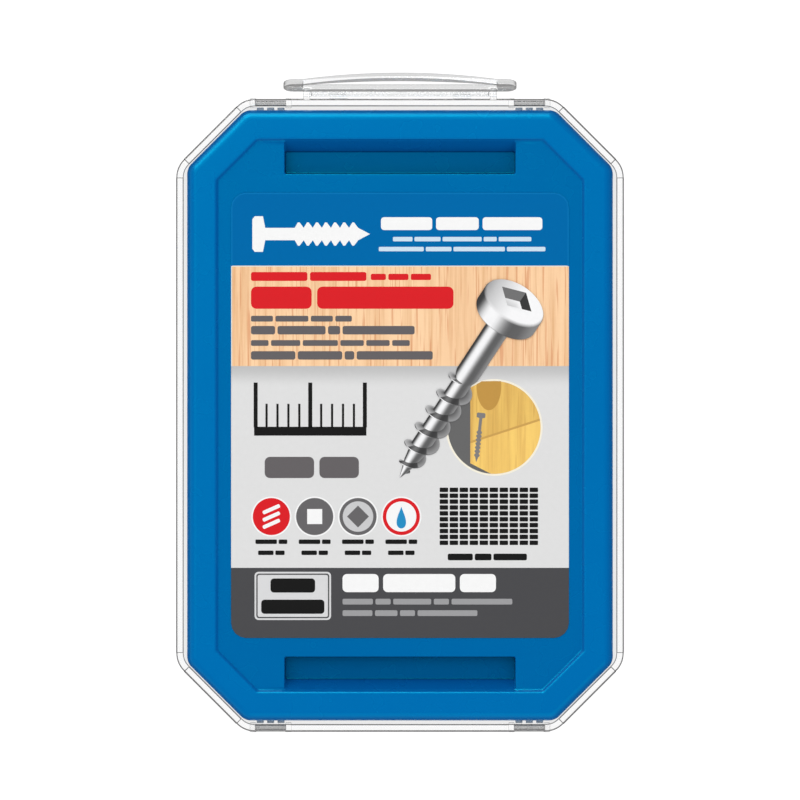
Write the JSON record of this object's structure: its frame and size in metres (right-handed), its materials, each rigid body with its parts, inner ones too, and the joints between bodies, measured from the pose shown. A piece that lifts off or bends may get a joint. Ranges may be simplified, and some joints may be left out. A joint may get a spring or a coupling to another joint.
{
  "type": "pocket hole screw pack",
  "caption": "Hanging retail case of loose pocket hole screws: clear eight-sided tub, hinged blue lid with a label, and a swinging hang tab.",
  "frame": {"origin": "middle of the tub's flat back, on the surface the pack lies on", "axes": "+X across the pack, +Y towards the hang tab, +Z out through the lid and label"},
  "size_m": [0.1014, 0.15, 0.0318],
  "materials": {
    "clear_plastic": "clear gloss",
    "blue_plastic": "satin moulded",
    "label": "coated, printed in fields of colour",
    "zinc_steel": "bright zinc plated"
  },
  "bodies": {
    "tub": {"clear_tub": "clear_plastic", "screws": "zinc_steel"},
    "lid": {"lid": "blue_plastic", "front_label": "label"},
    "hanger": {"hang_tab": "clear_plastic"}
  },
  "joints": [
    {"name": "lid_hinge", "type": "hinge", "parent": "tub", "child": "lid", "pos_m": [0, -0.0707, 0.0278], "axis": [1, 0, 0], "range_deg": [0, 180]},
    {"name": "tab_hinge", "type": "hinge", "parent": "tub", "child": "hanger", "pos_m": [0, 0.07285, 0.0252], "axis": [1, 0, 0], "range_deg": [0, 90]}
  ]
}
